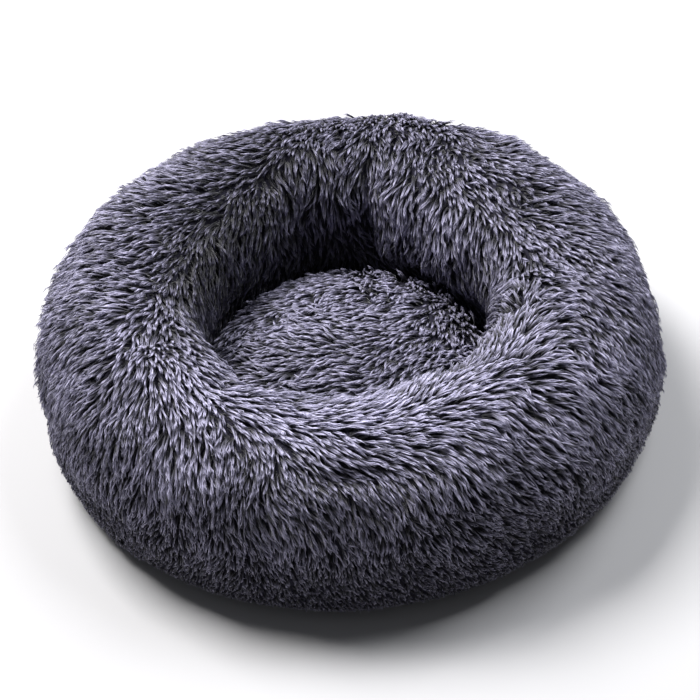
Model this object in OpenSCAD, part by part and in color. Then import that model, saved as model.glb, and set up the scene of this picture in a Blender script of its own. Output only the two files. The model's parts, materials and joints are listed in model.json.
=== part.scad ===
// Round plush bed for a cat or small dog: a stuffed ring on a cloth base, with a loose cushion inside it.
// The ring's filling comes out through a zip that runs round the underside of the base.
// Millimetres. +Z is up, and the origin is on the floor at the middle of the bed.

/* [Ring] */
// Diameter of the circle that the middle of the tube follows
ring_mean_d = 436; // [340:1:600]
// Width of the tube, over its fur cloth
tube_w = 147; // [115:1:180]
// Height of the tube above the base cloth
tube_h = 172; // [140:1:220]
// How far the tube's round section is pressed flat against the base cloth
tube_sink = 24; // [9:1:36]
// Angle of the first of the two seams across the outer panel, from +X
ring_seam_angle = 10; // [0:1:179]

/* [Cushion] */
// Gap between the cushion and the narrowest part of the ring, all round
cushion_play = 11.5; // [4:0.5:30]
// Height of the cushion above the base cloth
cushion_h = 74; // [50:1:100]
// How far the cushion's round section is pressed flat underneath
cushion_sink = 8; // [5:1:14]
// Gap between the cushion and the base cloth
cushion_gap = 0.3; // [0.2:0.1:1]

/* [Cloth] */
// Thickness of the fur cloth, backing and short underfur together
fur_cloth_t = 5; // [3:0.5:8]
// Thickness of the coated cloth under the bed and under the cushion
base_cloth_t = 1.2; // [0.8:0.1:2]
// Thickness of the bags that hold the filling
bag_t = 1; // [0.6:0.1:1.5]
// Radius of the piping round the base
piping_r = 3; // [2.5:0.1:5]

/* [Anti-slip dots] */
// Height of one dot
dot_h = 1; // [0.6:0.1:1.5]
// Radius of one dot
dot_r = 2.5; // [1.5:0.1:4]
// Distance between neighbouring dots
dot_pitch = 30; // [24:1:60]
// Space kept clear between a dot and the base's edge or the zip
dot_margin = 8; // [4:1:20]

/* [Zip] */
// Angle that the zip's coils run through
zip_arc = 110; // [60:1:160]
// Angle of the middle of the zip, from +X
zip_middle = 90; // [0:1:359]
// Width of one tape
tape_w = 11; // [8:0.5:13.5]
// Thickness of the tapes
tape_t = 0.6; // [0.4:0.1:0.8]
// Width of one coil
coil_w = 2.4; // [1.8:0.1:3]
// Height of the coils
coil_h = 2.2; // [1.8:0.1:2.6]
// Gap between the two coils, in which the slider's post runs
coil_gap = 1; // [0.8:0.1:1.6]
// Gap between the slider and each side of the slot in the base cloth
slot_play = 0.8; // [0.5:0.1:2]
// Width of the turned hem on each side of the slot
hem_w = 5; // [4:0.5:7]

/* [Slider and pull] */
// Length of the slider
slider_l = 12; // [10:0.5:16]
// Thickness of the slider's body
slider_h = 6; // [5:0.1:7.5]
// Clearance between the slider and the coils and tapes inside it
slider_play = 0.3; // [0.2:0.05:0.5]
// Clearance on each side of the slider's post, which runs between the coils
post_play = 0.2; // [0.1:0.05:0.3]
// Thickness of the crown that holds the pull
crown_t = 1; // [0.8:0.1:1.2]
// Width of the crown
crown_w = 2.2; // [1.6:0.1:2.6]
// Length of the crown
crown_l = 8; // [6:0.5:9]
// Clearance round the pull's bar in the crown, and beside the crown
pull_play = 0.2; // [0.1:0.05:0.4]
// Clearance between the crown and the floor
crown_lift = 0.4; // [0.3:0.1:2]
// Width of the pull tab
pull_w = 6; // [5:0.1:7.2]
// Thickness of the pull tab
pull_t = 1; // [0.8:0.1:1.2]
// Length of the pull tab, from its pivot
pull_l = 24; // [18:1:30]

/* [Hidden] */
$fn = 96;

fur_colour = [0.32, 0.31, 0.37];
cushion_colour = [0.38, 0.37, 0.43];
cloth_colour = [0.2, 0.2, 0.23];
bag_colour = [0.85, 0.85, 0.83];
fill_colour = [0.96, 0.96, 0.94];
rubber_colour = [0.1, 0.1, 0.11];
metal_colour = [0.55, 0.55, 0.57];
arc_steps = 24;

// The base cloth lies on its dots, and everything soft stands on the cloth.
base_z = dot_h;
floor_z = base_z + base_cloth_t;

// The tube's section is an ellipse whose lowest tube_sink is cut off by the base cloth.
ring_r = ring_mean_d / 2;
tube_b = (tube_h + tube_sink) / 2;
tube_z = floor_z + tube_h - tube_b;
tube_foot = start_angle(tube_z, tube_b, floor_z);

// The piping lies on the floor, as close to the tube as it goes, and the base cloth ends at the piping.
piping_mid_r = max([
    for (i = [0:60]) let (z = floor_z + (2 * piping_r - floor_z) * i / 60)
        ring_r + tube_w / 2 * sqrt(1 - pow((z - tube_z) / tube_b, 2))
            + sqrt(pow(piping_r, 2) - pow(z - piping_r, 2))
]);
base_r = piping_mid_r - sqrt(pow(piping_r, 2) - pow(piping_r - min(floor_z, piping_r), 2));

// The cushion's section is cut off underneath in the same way.
cushion_z0 = floor_z + cushion_gap;
cushion_b = (cushion_h + cushion_sink) / 2;
cushion_z = cushion_z0 + cushion_h - cushion_b;
cushion_r = ring_r - tube_w / 2 - cushion_play;

// The zip runs round the middle of the ring's footprint, just high enough for the crown to clear the floor.
crown_h = crown_t + pull_t + 2 * pull_play;
zip_z = crown_lift + crown_h + slider_h / 2;
slider_z0 = zip_z - slider_h / 2;
pivot_z = slider_z0 - pull_play - pull_t / 2;
hem_z1 = zip_z - tape_t / 2;
zip_start = zip_middle - zip_arc / 2;
zip_end = zip_middle + zip_arc / 2;
stop_l = 2;
slider_wall = 2;
slider_w = coil_gap + 2 * (coil_w + slider_play + slider_wall);
slider_room = slider_l / 2 + stop_l + 0.5;
slider_start = zip_start + along_zip(slider_room);
slider_travel = zip_arc - 2 * along_zip(slider_room);
slot_w = slider_w + 2 * slot_play;
slot_over = along_zip(max(pull_l - slider_room, 0) + 3);
slot_start = zip_start - slot_over;
slot_arc = zip_arc + 2 * slot_over;
hem_over = along_zip(hem_w);

// The pull's opening is longer than the crown's half, so that the pull turns right over it.
window_l = crown_l / 2 + 1.5;

// The filling keeps clear of the zip.
channel_play = 2;
channel_w = coil_gap + 2 * (coil_w + tape_w + channel_play);
channel_h = zip_z + slider_h / 2 + 0.7;
channel_over = hem_over + along_zip(channel_play);

// Angle that an arc of this length takes along the zip
function along_zip(length) = length / ring_r * 180 / PI;

// Angle at which an ellipse of half height b round height zc crosses height z, below its middle
function start_angle(zc, b, z) = -asin((zc - z) / b);

// Points along an ellipse of half width a and half height b, round height zc
function ellipse_arc(a, b, zc, from, to) = [
    for (i = [0:arc_steps]) let (t = from + (to - from) * i / arc_steps) [a * cos(t), zc + b * sin(t)]
];

// The tube's section inside a layer of this thickness, from one foot over the top to the other
function tube_section(inset, foot_z, from_share = 0, to_share = 1) =
    let (foot = start_angle(tube_z, tube_b - inset, foot_z), sweep = 180 - 2 * foot)
    ellipse_arc(
        tube_w / 2 - inset, tube_b - inset, tube_z,
        foot + from_share * sweep, foot + to_share * sweep
    );

// The cushion's right half section inside its top cloth, and above its bottom cloth
function cushion_section(top_inset, bottom_inset, foot_z) = concat(
    ellipse_arc(cushion_r - top_inset, cushion_b - top_inset, cushion_z, 90, 0),
    ellipse_arc(
        cushion_r - top_inset, cushion_b - bottom_inset, cushion_z,
        0, start_angle(cushion_z, cushion_b - bottom_inset, foot_z)
    ),
    [[0, foot_z]]
);

// Points of a list in the opposite order
function backwards(list) = [for (i = [len(list) - 1:-1:0]) list[i]];

module tube_solid(inset, foot_z) {
    rotate_extrude()
        translate([ring_r, 0])
            polygon(tube_section(inset, foot_z));
}

module tube_wall(outer, inner) {
    translate([ring_r, 0])
        polygon(concat(outer, backwards(inner)));
}

// A strip round the bed's axis, from r0 to r1 and from z0 to z1
module arc_strip(r0, r1, z0, z1, start, arc) {
    rotate([0, 0, start])
        rotate_extrude(angle = arc)
            translate([r0, z0])
                square([r1 - r0, z1 - z0]);
}

// Half of the fur cloth outside the crest, between the two cross seams
module ring_outer_panel(start) {
    color(fur_colour)
        rotate([0, 0, start])
            rotate_extrude(angle = 180)
                tube_wall(
                    tube_section(0, floor_z, 0, 0.5),
                    tube_section(fur_cloth_t, floor_z, 0, 0.5)
                );
}

// The fur cloth inside the crest, down to the seam round the cushion's place
module ring_inner_panel() {
    color(fur_colour)
        rotate_extrude()
            tube_wall(
                tube_section(0, floor_z, 0.5, 1),
                tube_section(fur_cloth_t, floor_z, 0.5, 1)
            );
}

// The hollow that the filling leaves over the zip
module zip_channel(extra) {
    arc_strip(
        ring_r - channel_w / 2 - extra, ring_r + channel_w / 2 + extra,
        floor_z - 1, channel_h + extra,
        slot_start - channel_over - along_zip(extra), slot_arc + 2 * channel_over + 2 * along_zip(extra)
    );
}

module ring_fill_body(inset, foot_z, extra) {
    difference() {
        tube_solid(inset, foot_z);
        zip_channel(extra);
    }
}

// Thin bag round the ring's filling
module ring_fill_bag() {
    color(bag_colour)
        difference() {
            ring_fill_body(fur_cloth_t, floor_z, 0);
            ring_fill();
        }
}

// Polyester fibre that fills the ring
module ring_fill() {
    color(fill_colour)
        ring_fill_body(fur_cloth_t + bag_t, floor_z + bag_t, bag_t);
}

// Coated cloth under the whole bed, with the zip's slot
module base_panel() {
    color(cloth_colour)
        difference() {
            translate([0, 0, base_z])
                cylinder(r = base_r, h = base_cloth_t);
            zip_slot(base_z - 1, floor_z + 1);
        }
}

module zip_slot(z0, z1) {
    arc_strip(ring_r - slot_w / 2, ring_r + slot_w / 2, z0, z1, slot_start, slot_arc);
}

// Round piping sewn into the seam between the base cloth and the ring
module base_piping() {
    color(cloth_colour)
        rotate_extrude()
            translate([piping_mid_r, piping_r])
                circle(r = piping_r, $fn = 48);
}

// Whether a dot here would lie under the zip's slot or its hem
function in_zip(x, y) =
    let (
        turn = (atan2(y, x) - slot_start + 720) % 360,
        margin = along_zip(hem_w + dot_r + dot_margin),
        beside = abs(norm([x, y]) - ring_r)
    )
    beside < slot_w / 2 + hem_w + dot_r + 1 && (turn < slot_arc + margin || turn > 360 - margin);

// Soft dots printed on the base cloth in staggered rows
module anti_slip_dots() {
    limit = base_r - dot_r - dot_margin;
    row_pitch = dot_pitch * sin(60);
    rows = floor(limit / row_pitch);
    color(rubber_colour)
        for (row = [-rows:rows]) {
            shift = row % 2 == 0 ? 0 : dot_pitch / 2;
            count = ceil(limit / dot_pitch);
            for (column = [-count - 1:count]) {
                x = column * dot_pitch + shift;
                y = row * row_pitch;
                if (norm([x, y]) < limit && !in_zip(x, y))
                    translate([x, y, base_z - dot_h])
                        cylinder(r = dot_r, h = dot_h, $fn = 24);
            }
        }
}

// Turned hem of the base cloth round the slot, which the tapes are sewn to
module zip_hem() {
    color(cloth_colour)
        difference() {
            arc_strip(
                ring_r - slot_w / 2 - hem_w, ring_r + slot_w / 2 + hem_w, floor_z, hem_z1,
                slot_start - hem_over, slot_arc + 2 * hem_over
            );
            zip_slot(floor_z - 1, hem_z1 + 1);
        }
}

// One tape, on the side that side points to: 1 away from the bed's middle, -1 towards it
module zip_tape(side) {
    near = ring_r + side * (coil_gap / 2 + coil_w);
    far = near + side * tape_w;
    color(cloth_colour)
        arc_strip(
            min(near, far), max(near, far), hem_z1, hem_z1 + tape_t,
            slot_start - hem_over, slot_arc + 2 * hem_over
        );
}

// One coil, on the edge of its tape
module zip_coil(side) {
    near = ring_r + side * coil_gap / 2;
    far = near + side * coil_w;
    color(rubber_colour)
        arc_strip(min(near, far), max(near, far), zip_z - coil_h / 2, zip_z + coil_h / 2, zip_start, zip_arc);
}

// Four small blocks that clamp the tapes at the ends of the coils
module zip_stops() {
    stop_arc = along_zip(stop_l);
    near = coil_gap / 2;
    far = coil_gap / 2 + coil_w;
    color(metal_colour)
        for (start = [zip_start - stop_arc, zip_end], side = [-1, 1])
            arc_strip(
                ring_r + min(side * near, side * far), ring_r + max(side * near, side * far),
                zip_z - coil_h / 2, zip_z + coil_h / 2, start, stop_arc
            );
}

// Carries a part drawn at the origin, with the zip running along +Y, to the slider's rest place
module at_slider() {
    rotate([0, 0, slider_start])
        translate([ring_r, 0, 0])
            children();
}

module slider_outline() {
    tail_w = slider_w - 2;
    polygon([
        [-tail_w / 2, -slider_l / 2], [tail_w / 2, -slider_l / 2],
        [slider_w / 2, slider_l / 6], [slider_w / 2, slider_l / 2 - 1.5],
        [slider_w / 2 - 1.5, slider_l / 2], [-slider_w / 2 + 1.5, slider_l / 2],
        [-slider_w / 2, slider_l / 2 - 1.5], [-slider_w / 2, slider_l / 6]
    ]);
}

// Slider: two plates joined by a post between the coils, with a crown underneath for the pull
module zip_slider() {
    tunnel_w = coil_gap + 2 * (coil_w + slider_play);
    tunnel_h = coil_h + 2 * slider_play;
    tape_room = tape_t + 2 * slider_play;
    post_w = coil_gap - 2 * post_play;
    post_l = 4;
    color(metal_colour)
        at_slider() {
            difference() {
                translate([0, 0, slider_z0])
                    linear_extrude(slider_h)
                        slider_outline();
                translate([-tunnel_w / 2, -slider_l, zip_z - tunnel_h / 2])
                    cube([tunnel_w, 2 * slider_l, tunnel_h]);
                translate([-slider_w, -slider_l, zip_z - tape_room / 2])
                    cube([2 * slider_w, 2 * slider_l, tape_room]);
            }
            translate([-post_w / 2, slider_l / 2 - post_l - 1, slider_z0 + 0.5])
                cube([post_w, post_l, slider_h - 1]);
            difference() {
                translate([-crown_w / 2, -crown_l / 2, slider_z0 - crown_h])
                    cube([crown_w, crown_l, crown_h + 0.2]);
                translate([-crown_w, -crown_l / 2 + crown_t, slider_z0 - crown_h + crown_t])
                    cube([2 * crown_w, crown_l - 2 * crown_t, crown_h - crown_t]);
            }
        }
}

// Pull tab: a round bar through the crown, two arms and a plate with a round end
module zip_pull() {
    color(metal_colour)
        at_slider() {
            translate([-pull_w / 2, 0, pivot_z])
                rotate([0, 90, 0])
                    cylinder(d = pull_t, h = pull_w, $fn = 32);
            translate([0, 0, pivot_z - pull_t / 2])
                linear_extrude(pull_t)
                    difference() {
                        union() {
                            translate([-pull_w / 2, 0])
                                square([pull_w, pull_l - pull_w / 2]);
                            translate([0, pull_l - pull_w / 2])
                                circle(d = pull_w, $fn = 48);
                        }
                        translate([-crown_w / 2 - pull_play, -1])
                            square([crown_w + 2 * pull_play, window_l + 1]);
                        translate([0, pull_l - pull_w / 2])
                            circle(r = pull_w / 5, $fn = 32);
                    }
        }
}

// Fur cloth over the top of the cushion
module cushion_top_panel() {
    color(cushion_colour)
        rotate_extrude()
            polygon(concat(
                ellipse_arc(cushion_r, cushion_b, cushion_z, 0, 90),
                ellipse_arc(cushion_r - fur_cloth_t, cushion_b - fur_cloth_t, cushion_z, 90, 0)
            ));
}

module cushion_solid(top_inset, bottom_inset, foot_z) {
    rotate_extrude()
        polygon(cushion_section(top_inset, bottom_inset, foot_z));
}

// Coated cloth under the cushion
module cushion_base_panel() {
    foot = start_angle(cushion_z, cushion_b, cushion_z0);
    inner_foot_z = cushion_z0 + base_cloth_t;
    inner_foot = start_angle(cushion_z, cushion_b - base_cloth_t, inner_foot_z);
    color(cloth_colour)
        rotate_extrude()
            polygon(concat(
                ellipse_arc(cushion_r, cushion_b, cushion_z, 0, foot),
                [[0, cushion_z0], [0, inner_foot_z]],
                ellipse_arc(cushion_r - base_cloth_t, cushion_b - base_cloth_t, cushion_z, inner_foot, 0)
            ));
}

// Thin bag round the cushion's filling
module cushion_fill_bag() {
    color(bag_colour)
        difference() {
            cushion_solid(fur_cloth_t, base_cloth_t, cushion_z0 + base_cloth_t);
            cushion_fill();
        }
}

// Polyester fibre that fills the cushion
module cushion_fill() {
    color(fill_colour)
        cushion_solid(fur_cloth_t + bag_t, base_cloth_t + bag_t, cushion_z0 + base_cloth_t + bag_t);
}

ring_outer_panel(ring_seam_angle);  // ring_outer_panel_left
ring_outer_panel(ring_seam_angle + 180);  // ring_outer_panel_right
ring_inner_panel();
ring_fill_bag();
ring_fill();
base_panel();
base_piping();
anti_slip_dots();
zip_hem();
zip_tape(1);  // zip_tape_outer
zip_tape(-1);  // zip_tape_inner
zip_coil(1);  // zip_coil_outer
zip_coil(-1);  // zip_coil_inner
zip_stops();
zip_slider();
zip_pull();
cushion_top_panel();
cushion_base_panel();
cushion_fill_bag();
cushion_fill();
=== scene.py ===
import json
import math

import bmesh
import bpy
import numpy as np
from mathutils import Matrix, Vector, noise


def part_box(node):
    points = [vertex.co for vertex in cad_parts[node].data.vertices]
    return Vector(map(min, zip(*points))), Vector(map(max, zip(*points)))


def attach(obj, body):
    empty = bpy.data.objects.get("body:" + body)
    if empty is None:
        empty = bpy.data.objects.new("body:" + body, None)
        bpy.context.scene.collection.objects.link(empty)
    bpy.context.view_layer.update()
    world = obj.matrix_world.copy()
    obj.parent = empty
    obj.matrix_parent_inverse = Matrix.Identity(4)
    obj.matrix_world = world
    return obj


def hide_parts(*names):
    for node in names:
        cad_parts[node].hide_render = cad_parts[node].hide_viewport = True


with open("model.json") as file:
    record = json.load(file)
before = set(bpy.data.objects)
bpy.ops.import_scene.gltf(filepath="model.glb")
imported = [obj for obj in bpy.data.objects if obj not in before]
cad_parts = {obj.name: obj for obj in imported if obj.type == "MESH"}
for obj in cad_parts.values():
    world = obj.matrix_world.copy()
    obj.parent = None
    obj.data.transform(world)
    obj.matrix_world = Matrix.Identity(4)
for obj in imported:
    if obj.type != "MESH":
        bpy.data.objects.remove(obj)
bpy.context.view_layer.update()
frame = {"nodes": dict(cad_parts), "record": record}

scene = bpy.context.scene

# The studio: a pale floor, one wide soft lamp high behind on the left, a weaker one behind on the right,
# and a camera in front that looks down at 41 degrees and is held a little askew.
VIEW_TILT = math.radians(41.3)
VIEW_ROLL = math.radians(-4.6)
VIEW_DISTANCE = 1.634
view_target = Vector((0.0025, 0.0, 0.0575))
view_from = Vector((0.0, -math.cos(VIEW_TILT), math.sin(VIEW_TILT)))


def added(name, data):
    """A new object in the scene."""
    thing = bpy.data.objects.new(name, data)
    scene.collection.objects.link(thing)
    return thing


camera = added("camera", bpy.data.cameras.new("camera"))
camera.data.lens = 88.0
camera.data.sensor_width = 36.0
camera.location = view_target + VIEW_DISTANCE * view_from
camera.rotation_euler = (-view_from).to_track_quat("-Z", "Y").to_euler()
camera.rotation_euler.rotate_axis("Z", VIEW_ROLL)
scene.camera = camera
scene.view_settings.view_transform = "Standard"


def soft_lamp(name, place, width, power, colour):
    """A square lamp at that place, turned towards the bed."""
    lamp = added(name, bpy.data.lights.new(name, "AREA"))
    lamp.data.size = width
    lamp.data.energy = power
    lamp.data.color = colour
    lamp.location = place
    lamp.rotation_euler = (Vector((0, 0, 0.1)) - Vector(place)).to_track_quat("-Z", "Y").to_euler()


soft_lamp("key_lamp", (-1.0, 0.85, 2.25), 1.2, 152.0, (1.0, 0.985, 0.975))
soft_lamp("side_lamp", (1.25, 0.55, 2.1), 1.2, 58.0, (0.97, 0.98, 1.0))
scene.world = bpy.data.worlds.new("studio")
scene.world.use_nodes = True
scene.world.node_tree.nodes["Background"].inputs["Color"].default_value = (0.93, 0.95, 1.0, 1.0)
scene.world.node_tree.nodes["Background"].inputs["Strength"].default_value = 0.13


class Wire:
    """A value in a material, written in sums as a number is."""

    def __init__(self, tree, socket):
        self.tree = tree
        self.socket = socket

    def maths(self, operation, first, second):
        node = self.tree.nodes.new("ShaderNodeMath")
        node.operation = operation
        for slot, value in zip(node.inputs, (first, second)):
            if isinstance(value, Wire):
                self.tree.links.new(value.socket, slot)
            else:
                slot.default_value = value
        return Wire(self.tree, node.outputs[0])

    def __add__(self, other): return self.maths("ADD", self, other)
    def __radd__(self, other): return self.maths("ADD", other, self)
    def __sub__(self, other): return self.maths("SUBTRACT", self, other)
    def __rsub__(self, other): return self.maths("SUBTRACT", other, self)
    def __mul__(self, other): return self.maths("MULTIPLY", self, other)
    def __rmul__(self, other): return self.maths("MULTIPLY", other, self)


class Finish:
    """A procedural material. add() makes any node, and shader() makes its one Principled shader."""

    def __init__(self, name):
        self.material = bpy.data.materials.new(name)
        self.material.use_nodes = True
        self.tree = self.material.node_tree
        self.tree.nodes.clear()

    def add(self, kind, settings=None, inputs=None, output=0):
        node = self.tree.nodes.new(kind)
        for key, value in (settings or {}).items():
            setattr(node, key, value)
        self.feed(node, inputs or {})
        return Wire(self.tree, node.outputs[output])

    def feed(self, node, inputs):
        for key, value in inputs.items():
            if isinstance(value, Wire):
                self.tree.links.new(value.socket, node.inputs[key])
            elif isinstance(value, tuple) and len(value) == 3 and node.inputs[key].type == "RGBA":
                node.inputs[key].default_value = (*value, 1.0)
            else:
                node.inputs[key].default_value = value

    def place(self):
        """The point's own place on the object."""
        return self.add("ShaderNodeTexCoord", output="Object")

    def mix(self, share, a, b):
        """Colour a where share is 0 and b where it is 1."""
        return self.add("ShaderNodeMix", {"data_type": "RGBA"}, {0: share, 6: a, 7: b}, output=2)

    def relief(self, height, strength, distance):
        return self.add("ShaderNodeBump", None, {
            "Strength": strength, "Distance": distance, "Height": height,
        })

    def shader(self, **inputs):
        node = self.tree.nodes.new("ShaderNodeBsdfPrincipled")
        self.feed(node, {key.replace("_", " "): value for key, value in inputs.items()})
        out = self.tree.nodes.new("ShaderNodeOutputMaterial")
        self.tree.links.new(node.outputs[0], out.inputs[0])
        return self.material


floor_mesh = bpy.data.meshes.new("floor")
floor_mesh.from_pydata([(-6, -6, 0), (6, -6, 0), (6, 6, 0), (-6, 6, 0)], [], [(0, 1, 2, 3)])
floor = added("floor", floor_mesh)
paper = Finish("studio_paper")
grain = paper.add("ShaderNodeTexNoise", None, {"Scale": 3.0, "Detail": 2.0})
floor_mesh.materials.append(paper.shader(
    Base_Color=paper.mix(grain, (0.42, 0.42, 0.43), (0.46, 0.46, 0.47)), Roughness=0.9,
))

# The base: one disc of dark woven cloth, coated on the back so that the bed stays put. It has a slot
# for the zip, and small puckers run in from its edge, where the sewing gathers it.
joints = {joint["name"]: joint for joint in frame["record"]["behaviour"]["joints"]}
pull_pivot = np.array(joints["pull_turn"]["pos_m"])
ZIP_RADIUS = float(np.hypot(pull_pivot[0], pull_pivot[1]))
base_low, base_high = (np.array(corner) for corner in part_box("base_panel"))
hem_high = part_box("zip_hem")[1]
FLOOR = base_high[2]
BASE_RADIUS = base_high[0]
SLOT_HALF = 0.006
HEM_WIDTH = hem_high[1] - ZIP_RADIUS - SLOT_HALF
SEWN_DIP = 0.0002
PUCKERS_FROM, PUCKERS_OVER = 0.19, 0.075


def mesh_piece(name, points, faces, material, uv=None):
    """A mesh object at the origin. faces is a list of arrays, each with faces of one number of corners."""
    mesh = bpy.data.meshes.new(name)
    mesh.vertices.add(len(points))
    mesh.vertices.foreach_set("co", np.asarray(points, np.float32).ravel())
    corners = np.concatenate([np.asarray(face, np.int32).ravel() for face in faces])
    sizes = np.concatenate([np.full(len(face), np.shape(face)[1], np.int32) for face in faces])
    mesh.loops.add(len(corners))
    mesh.loops.foreach_set("vertex_index", corners)
    mesh.polygons.add(len(sizes))
    mesh.polygons.foreach_set("loop_start", np.concatenate([[0], np.cumsum(sizes)[:-1]]).astype(np.int32))
    if uv is not None:
        layer = mesh.uv_layers.new(name="OFBake")
        layer.data.foreach_set("uv", np.asarray(uv, np.float32).ravel())
    mesh.update(calc_edges=True)
    mesh.shade_smooth()
    mesh.materials.append(material)
    return added(name, mesh)


def grid_faces(rows, columns, around=False, over=False):
    """Quads of a grid of points numbered row by row, joined end to end where around or over says so."""
    i = np.arange(rows if around else rows - 1)[:, None]
    j = np.arange(columns if over else columns - 1)[None, :]
    a = i * columns + j
    b = ((i + 1) % rows) * columns + j
    c = ((i + 1) % rows) * columns + (j + 1) % columns
    d = i * columns + (j + 1) % columns
    return np.stack([a, b, c, d], axis=-1).reshape(-1, 4)


def on_circle(radius, turn, height):
    """Points at those distances from the bed's axis, angles round it and heights."""
    return np.stack(np.broadcast_arrays(radius * np.cos(turn), radius * np.sin(turn), height), axis=-1)


def woven(name, dark, light, thread, coarse=0.35, rough=0.85):
    """Plain-weave cloth: two crossed sets of threads, seen in the colour and in the relief."""
    cloth = Finish(name)
    place = cloth.place()
    across, along = (
        cloth.add("ShaderNodeTexWave", {"wave_type": "BANDS", "bands_direction": direction}, {
            "Vector": place, "Scale": 0.314 / thread, "Distortion": 0.6, "Detail": 2.0, "Detail Scale": 3.0,
        })
        for direction in "XY"
    )
    blotch = cloth.add("ShaderNodeTexNoise", None, {"Vector": place, "Scale": 14.0, "Detail": 4.0})
    weave = across * along
    share = weave * 0.7 + blotch * 0.3
    return cloth.shader(
        Base_Color=cloth.mix(share, dark, light), Roughness=rough - share * 0.15,
        Normal=cloth.relief(weave, coarse, thread * 0.5), Sheen_Weight=0.15, Specular_IOR_Level=0.3,
    )


def belongs(piece, body, slot, *nodes):
    """The piece moves with the body and stands for the nodes, which it hides. slot is not used."""
    if nodes:
        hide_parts(*nodes)
    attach(piece, body)


hem_half = math.asin(min(hem_high[0] / hem_high[1], 1.0))
slot_start = math.pi / 2 - hem_half + HEM_WIDTH / ZIP_RADIUS
slot_end = math.pi / 2 + hem_half - HEM_WIDTH / ZIP_RADIUS
turns = np.unique(np.concatenate([
    np.linspace(slot_start, slot_end, 73), np.linspace(slot_end, slot_start + math.tau, 169)[:-1],
]))
INNER_RINGS = 24
radii = np.concatenate([
    np.linspace(0.004, ZIP_RADIUS - SLOT_HALF, INNER_RINGS),
    np.linspace(ZIP_RADIUS + SLOT_HALF, BASE_RADIUS, 9),
])
turn, radius = np.meshgrid(turns, radii, indexing="ij")
pucker = np.clip((radius - PUCKERS_FROM) / PUCKERS_OVER, 0, 1) ** 2 * (
    0.5 * np.sin(61 * turn) + 0.3 * np.sin(37 * turn + 1.0) + 0.2 * np.sin(113 * turn + 2.0)
)
under = base_low[2] - SEWN_DIP * (1 + pucker) * np.clip((BASE_RADIUS - radius) / 0.004, 0, 1)
rows, columns = turn.shape
count = rows * columns
column = np.tile(np.arange(columns - 1), rows)
beside_slot = (turns > slot_start - 1e-6) & (turns < slot_end - 1e-6)
in_slot = (column == INNER_RINGS - 1) & np.repeat(beside_slot, columns - 1)
cells = grid_faces(rows, columns, around=True)[~in_slot]
mesh = bmesh.new()
for point in np.concatenate([
    on_circle(radius, turn, under).reshape(-1, 3), on_circle(radius, turn, FLOOR).reshape(-1, 3),
    [(0, 0, base_low[2] - SEWN_DIP), (0, 0, FLOOR)],
]):
    mesh.verts.new(point)
mesh.verts.index_update()
mesh.verts.ensure_lookup_table()
for quad in cells:
    mesh.faces.new([mesh.verts[k] for k in quad])
    mesh.faces.new([mesh.verts[k + count] for k in quad[::-1]])
for a, b in zip(np.arange(rows) * columns, np.roll(np.arange(rows), -1) * columns):
    mesh.faces.new([mesh.verts[a], mesh.verts[b], mesh.verts[2 * count]])
    mesh.faces.new([mesh.verts[b + count], mesh.verts[a + count], mesh.verts[2 * count + 1]])
for edge in [e for e in mesh.edges if len(e.link_faces) == 1 and max(v.index for v in e.verts) < count]:
    a, b = (v.index for v in edge.verts)
    mesh.faces.new([mesh.verts[a], mesh.verts[b], mesh.verts[b + count], mesh.verts[a + count]])
bmesh.ops.delete(mesh, geom=[v for v in mesh.verts if not v.link_faces], context="VERTS")
bmesh.ops.recalc_face_normals(mesh, faces=mesh.faces)
base_mesh = bpy.data.meshes.new("base_cloth")
mesh.to_mesh(base_mesh)
mesh.free()
base_cloth = added("base_cloth", base_mesh)
base_finish = woven("coated_cloth", (0.018, 0.018, 0.022), (0.06, 0.06, 0.07), 0.0012)
base_mesh.materials.append(base_finish)
belongs(base_cloth, "ring", "base_cloth", "base_panel")
math.pi * BASE_RADIUS ** 2 - 2 * SLOT_HALF * ZIP_RADIUS * (slot_end - slot_start)

# The anti-slip dots: soft domes of rubber paste, printed on the base cloth in staggered rows. They stop
# short of the edge and of the zip.
DOT_RADIUS, DOT_PITCH, DOT_MARGIN = 0.0025, 0.03, 0.008


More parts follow.
